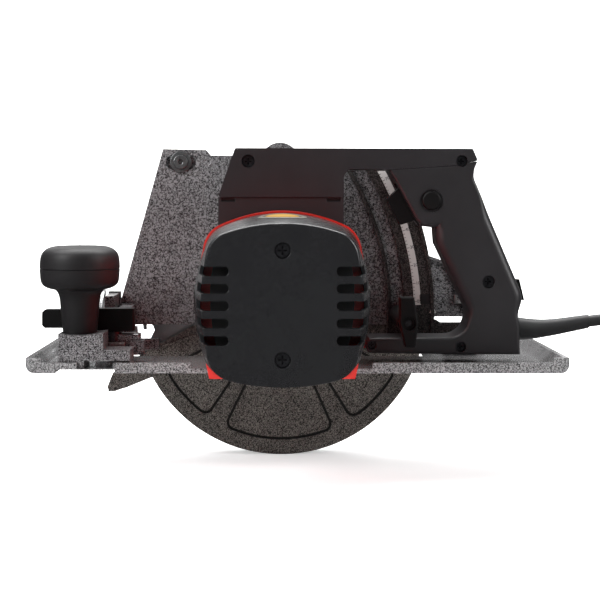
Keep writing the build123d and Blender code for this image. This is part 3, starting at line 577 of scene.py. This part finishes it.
EDGE_ROUND = 2.6
HAND_ROUND = 8.0
ROUND_STEPS = 7
GRIP_WALL = 4.2
GRIP_FACE = 4.5
SEAM_LIFT = 0.3
HALF_GAP = 0.03
BOOT_HOLE_R = 8


def grip_round(x, z):
    """The radius of the grip's edge, in millimetres."""
    low, high = box_mm("grip_left")
    held = smooth_step(z, low.z + 24, low.z + 48) * (1 - smooth_step(z, high.z - 50, high.z - 26))
    held *= smooth_step(x, low.x + 52.5, low.x + 61.5)
    at_seam = smooth_step(z, high.z - 16, high.z - 8)
    return (EDGE_ROUND + (HAND_ROUND - EDGE_ROUND) * held) * (1 - 0.75 * at_seam)


def grip_holes(y_face, y_back, inward):
    """The trigger's slot, the boot's hole and, on the near half, the screws' and the lock button's wells."""
    holes = bmesh.new()
    trigger_low, trigger_high = box_mm("trigger")
    x0, x1 = trigger_low.x - 3.5, trigger_high.x + 2.5
    z0, z1 = trigger_low.z - 5.7, trigger_high.z + 2
    prism(holes, [(x0, z0), (x1, z0), (x1, z1), (x0, z1)], y_back + inward, y_back - inward * 9.6)
    boot_x, boot_z = box_mm("cord_boot")[0].x, box_mm("grip_left")[0].z + 21
    rim = circle(0, 0, BOOT_HOLE_R)
    skin(holes, [[(x, y_back + a, boot_z + b) for a, b in rim] for x in (boot_x - 6, boot_x + 19)])
    if inward < 0:
        return holes
    for low, high in islands(NODES["handle_screws"]):
        x, z, radius = (low.x + high.x) / 2, (low.z + high.z) / 2, (high.x - low.x) / 2 + 0.3
        prism(holes, circle(x, z, radius), y_face - 1, low.y + 3)
    button_low, button_high = box_mm("lock_button")
    x, z = (button_low.x + button_high.x) / 2, (button_low.z + button_high.z) / 2
    lathe_y(holes, x, z, [(9.9, y_face - 1), (9.9, y_face + 1.2), (8.3, y_face + 1.2), (8.3, y_face + 6)])
    return holes


def grip_shell(name, node, outline, y_face, y_back):
    """One half of the grip, hollow from its parting face, that replaces the CAD half."""
    inward = 1 if y_back > y_face else -1
    radii = [grip_round(x, z) for x, z in outline]
    rings = [at_y(outline, y_back)]
    for step in range(ROUND_STEPS + 1):
        angle = math.radians(90 * step / ROUND_STEPS)
        ring = inset(outline, [r * (1 - math.cos(angle)) for r in radii])
        rings.append([(x, y_face + inward * r * (1 - math.sin(angle)), z) for (x, z), r in zip(ring, radii)])
    mesh = bmesh.new()
    skin(mesh, rings)
    shell = piece_from(name, mesh, HANDLE, "saw", 50)
    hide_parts(node)

    hollow = bmesh.new()
    inner = inset(outline, [GRIP_WALL] * len(outline))
    prism(hollow, inner, y_back + inward, y_face + inward * GRIP_FACE)
    cut(shell, hollow)
    cut(shell, grip_holes(y_face, y_back, inward))
    clean = bmesh.new()
    clean.from_mesh(shell.data)
    bmesh.ops.remove_doubles(clean, verts=clean.verts, dist=0.02 * MM)
    bmesh.ops.dissolve_degenerate(clean, edges=clean.edges, dist=0.02 * MM)
    clean.to_mesh(shell.data)
    clean.free()
    shell.data.validate()
    edges = shell.modifiers.new("edges", "BEVEL")
    edges.limit_method = "ANGLE"
    edges.angle_limit = math.radians(50)
    edges.width = 0.4 * MM
    edges.segments = 2
    shell.modifiers.new("normals", "WEIGHTED_NORMAL")


near_low, near_high = box_mm("grip_left")
far_low, far_high = box_mm("grip_right")
grip_outline = finer(thinned(loop_at(NODES["grip_right"], far_high.y - 5), 1.3), 4.5)
for point in grip_outline:
    point.y += SEAM_LIFT * smooth_step(point.y, near_high.z - 10, near_high.z - 8)
grip_shell("grip_shell_left", "grip_left", grip_outline, near_low.y, near_high.y - HALF_GAP)
grip_shell("grip_shell_right", "grip_right", grip_outline, far_high.y, far_low.y + HALF_GAP)


# Details

def polar(node):
    """Where a CAD piece lies about the depth pivot: its radii, in millimetres, and its angles."""
    pivot_low, pivot_high = box_mm("depth_pivot_pin")
    centre = Vector(((pivot_low.x + pivot_high.x) / 2, (pivot_low.z + pivot_high.z) / 2))
    spots = [Vector((v.co.x, v.co.z)) / MM - centre for v in NODES[node].data.vertices]
    radii, angles = [s.length for s in spots], [math.atan2(s.y, s.x) for s in spots]
    return centre, (min(radii), max(radii)), (min(angles), max(angles))


SCALE_MARKS = 41


def scale_marks():
    """Ticks, and tens of millimetres, on the depth scale."""
    centre, (inner, outer), (start, end) = polar("depth_scale")
    y = box_mm("depth_scale")[0].y
    mesh = bmesh.new()
    for mark in range(SCALE_MARKS):
        angle = start + (end - start) * (mark + 1) / (SCALE_MARKS + 1)
        along = Vector((math.cos(angle), math.sin(angle)))
        across = Vector((-along.y, along.x))
        length = 2.6 if mark % 5 == 0 else 1.5
        corners = [centre + along * (inner + 0.2 + a) + across * b
                   for a, b in ((0, -0.22), (length, -0.22), (length, 0.22), (0, 0.22))]
        prism(mesh, [tuple(c) for c in corners], y - 0.15, y + 0.05)
        if mark % 5:
            continue
        words = bpy.data.curves.new("number", "FONT")
        words.body = str(mark * 2)
        words.size = 4.1 * MM
        words.extrude = 0.08 * MM
        words.align_x = "LEFT"
        words.align_y = "CENTER"
        writer = bpy.data.objects.new("number", words)
        figures = bpy.data.meshes.new_from_object(writer)
        spot = centre + along * (inner + 3.1)
        upright = Matrix.Rotation(-angle, 4, "Y") @ Matrix.Rotation(math.radians(90), 4, "X")
        figures.transform(Matrix.Translation(Vector((spot.x, y - 0.08, spot.y)) * MM) @ upright)
        mesh.from_mesh(figures)
        bpy.data.objects.remove(writer)
    piece_from("scale_marks", mesh, PRINT, "bracket")


def quadrant_marks():
    """A dark window with a pointer beside it, near the depth lever."""
    low, high = box_mm("depth_stud")
    y = box_mm("depth_scale")[0].y + 0.5
    x, z = (low.x + high.x) / 2 + 24.2, (low.z + high.z) / 2 + 13.8
    window = bmesh.new()
    corners = []
    for a, b in ((1, 1), (-1, 1), (-1, -1), (1, -1)):
        cut_corner = [(x + 4.5 * a, z + 3.7 * b), (x + 3.7 * a, z + 4.5 * b)]
        corners += cut_corner if a == b else cut_corner[::-1]
    skin(window, [at_y(corners, y + 0.1), at_y(corners, y - 0.5)])
    piece_from("depth_window", window, PRINT, "bracket")
    pointer = bmesh.new()
    x, z = x + 7.6, z - 10
    outer = [(x - 3.4, z - 3), (x + 3.4, z - 3), (x, z + 3.6)]
    for a, b in zip(outer, outer[1:] + outer[:1]):
        first, second = Vector(a), Vector(b)
        side = (second - first).normalized()
        normal = Vector((-side.y, side.x)) * 0.8
        strip = [first, second, second + normal - side * 0.8, first + normal + side * 0.8]
        prism(pointer, [tuple(p) for p in strip], y + 0.05, y - 0.25)
    piece_from("depth_pointer", pointer, SCALE, "bracket")


def web_ring():
    """A bright square stop ring on the guard's rear web."""
    low, high = box_mm("upper_guard")
    x, y, z = high.x - 11.2, low.y + 9.6, low.z + 39.6
    rings = []
    for size, rise in ((4.2, 0), (4.2, 0.8), (3.7, 1.1), (2.6, 1.1), (2.2, 0.7), (2.2, 0)):
        square = [(x - size, z - size), (x + size, z - size), (x + size, z + size), (x - size, z + size)]
        rings.append(at_y(square, y - rise))
    mesh = bmesh.new()
    skin(mesh, rings)
    piece_from("web_stop_ring", mesh, BRIGHT_EDGE, "saw")


THREAD_PITCH = 1.25
THREAD_TURNS = 16


def bevel_adjuster():
    """The knob block's threaded adjuster."""
    low, high = box_mm("knob_block")
    start, y, z = high.x - 28.7, high.y + 3, low.z + 15.4
    rings = []
    for turn in range(THREAD_TURNS):
        for share, radius in ((0.0, 2.45), (0.35, 2.95), (0.65, 2.95), (0.98, 2.45)):
            x = start + (turn + share) * THREAD_PITCH
            rings.append([(x, y + a, z + b) for a, b in circle(0, 0, radius, 28)])
    mesh = bmesh.new()
    skin(mesh, rings)
    piece_from("bevel_adjuster", mesh, BRIGHT_EDGE, "shoe", 25)


def machined_pads():
    """Faces of the front bracket that are milled after casting, set out from a corner of its box."""
    low, high = box_mm("front_bracket")
    corner = Vector((low.x, low.y, high.z))
    for name, start, end in (("clamp_pad", (15.4, 2.4, -33.95), (33.6, 19.6, -33.4)),
                             ("ear_pad", (1.4, 24.4, -2.05), (9.6, 55.6, -1.5)),
                             ("arm_pad", (1.4, 2.4, -39.65), (14.4, 20, -39.5))):
        mesh = bmesh.new()
        pad(mesh, corner + Vector(start), corner + Vector(end), 0.15)
        piece_from(name, mesh, BRIGHT_EDGE, "bracket")


def casting_boss():
    """A small round boss on the guard's front wall, beside the deflector's screw."""
    screw_low, screw_high = box_mm("deflector_screw")
    x, z = (screw_low.x + screw_high.x) / 2 + 23.3, (screw_low.z + screw_high.z) / 2 - 1.4
    wall = box_mm("upper_guard")[0].y + 2.5
    profile = ((4.9, -0.3), (4.8, 0.5), (4.2, 0.9), (3.2, 0.8), (2.4, 0.4), (1.2, 0.6), (0.3, 0.65))
    mesh = bmesh.new()
    lathe_y(mesh, x, z, [(radius, wall - rise) for radius, rise in profile])
    piece_from("casting_boss", mesh, CAST, "saw")


BADGE_HALF = (19, 9.5)


def badge():
    """A plain oval badge, with a pale border, that follows the curve of the end cap's top."""
    cap = NODES["motor_end_cap"]
    low, high = box_mm("motor_end_cap")
    middle = Vector((0, (low.y + high.y) / 2 + 8))
    half_x, half_y = BADGE_HALF
    rows = []
    for radius in (0.0001, 0.4, 0.7, 0.85, 1.0):
        ring = []
        for a, b in circle(0, 0, radius, 64):
            above = Vector((middle.x + half_x * a, middle.y + half_y * b, high.z + 65))
            _, point, normal, _ = cap.ray_cast(above * MM, Vector((0, 0, -1)))
            ring.append((point / MM, normal))
        rows.append(ring)
    mesh = bmesh.new()
    skin(mesh, [[tuple(p + n * rise) for p, n in ring]
                for ring, rise in ((rows[4], -0.1), (rows[4], 0.35), (rows[3], 0.5), (rows[2], 0.35),
                                   (rows[1], 0.35), (rows[0], 0.35))])
    paint = Paint("badge_enamel", Coat_Weight=0.5, Coat_Roughness=0.1)
    shift = paint.add("ShaderNodeMapping")
    shift.inputs["Location"].default_value = (0, -middle.y / half_y, 0)
    shift.inputs["Scale"].default_value = (1 / (half_x * MM), 1 / (half_y * MM), 0)
    paint.link(paint.place, shift.inputs["Vector"])
    length = paint.add("ShaderNodeVectorMath", operation="LENGTH")
    paint.link(shift.outputs[0], length.inputs[0])
    bands = [(0.0, "#b98d12"), (0.66, "#a87c0c"), (0.7, "#2c2412"), (0.78, "#2c2412"), (0.82, "#7d7a70"),
             (1.0, "#5e5c55")]
    paint.colour(paint.ramp(length.outputs["Value"], bands))
    paint.roughness(paint.noise(400), 0.25, 0.4)
    piece_from("cap_badge", mesh, paint.material, "saw")


scale_marks()
quadrant_marks()
web_ring()
bevel_adjuster()
machined_pads()
casting_boss()
badge()


# Stage and light

FLOOR_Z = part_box("lower_guard")[0].z


def sweep_floor():
    """A white studio sweep: flat, then curving up behind."""
    profile = [(-2.6, 0.0), (1.2, 0.0)]
    for step in range(1, 13):
        angle = math.radians(90 * step / 12)
        profile.append((1.2 + 0.8 * math.sin(angle), 0.8 * (1 - math.cos(angle))))
    profile.append((2.0, 3.0))
    mesh = bmesh.new()
    rows = [[mesh.verts.new((x, y, FLOOR_Z + z)) for y, z in profile] for x in (-3.5, 3.5)]
    for left, right in zip(rows[0], rows[0][1:]):
        i = rows[0].index(left)
        mesh.faces.new((left, rows[1][i], rows[1][i + 1], right))
    data = bpy.data.meshes.new("studio_sweep")
    mesh.to_mesh(data)
    mesh.free()
    for face in data.polygons:
        face.use_smooth = True
    sweep = bpy.data.objects.new("studio_sweep", data)
    bpy.context.scene.collection.objects.link(sweep)
    sweep.visible_glossy = False
    paint = Paint("studio_white", Roughness=0.9, Specular_IOR_Level=0.1, Emission_Strength=0.42)
    paint.shader.inputs["Emission Color"].default_value = (1, 1, 1, 1)
    paint.colour(paint.ramp(paint.noise(3), [(0.0, "#f6f6f6"), (1.0, "#fbfbfb")]))
    sweep.data.materials.append(paint.material)


sweep_floor()


def softbox(name, place, aim, size, power):
    light = bpy.data.lights.new(name, "AREA")
    light.shape = "RECTANGLE"
    light.size, light.size_y = size
    light.energy = power
    lamp = bpy.data.objects.new(name, light)
    bpy.context.scene.collection.objects.link(lamp)
    lamp.location = place
    lamp.rotation_euler = (Vector(aim) - Vector(place)).to_track_quat("-Z", "Y").to_euler()
    lamp.visible_camera = False
    return lamp


softbox("overhead", (-0.1, 0.25, 1.5), (0, 0, 0), (2.2, 1.0), 42)
softbox("left_front", (-1.35, -1.2, 1.05), (0, 0, 0.08), (0.5, 1.0), 26)
softbox("right_front", (1.5, -0.8, 0.8), (0, 0, 0.08), (0.5, 0.9), 16)
softbox("back_wash", (0, 0.7, 2.4), (0, 2.0, 0.3), (3.4, 0.8), 62)
softbox("rim_top", (0, 1.0, 0.78), (0, 0, 0.1), (1.7, 0.4), 4.5)
for side in (-1, 1):
    softbox(f"rim_{side + 1}", (0.66 * side, 1.0, 0.25), (0, 0, 0.1), (0.36, 0.9), 0.9)

world = bpy.data.worlds.new("studio")
bpy.context.scene.world = world
world.use_nodes = True
world.node_tree.nodes["Background"].inputs["Color"].default_value = (1, 1, 1, 1)
world.node_tree.nodes["Background"].inputs["Strength"].default_value = 0.10
bpy.context.scene.view_settings.view_transform = "Standard"
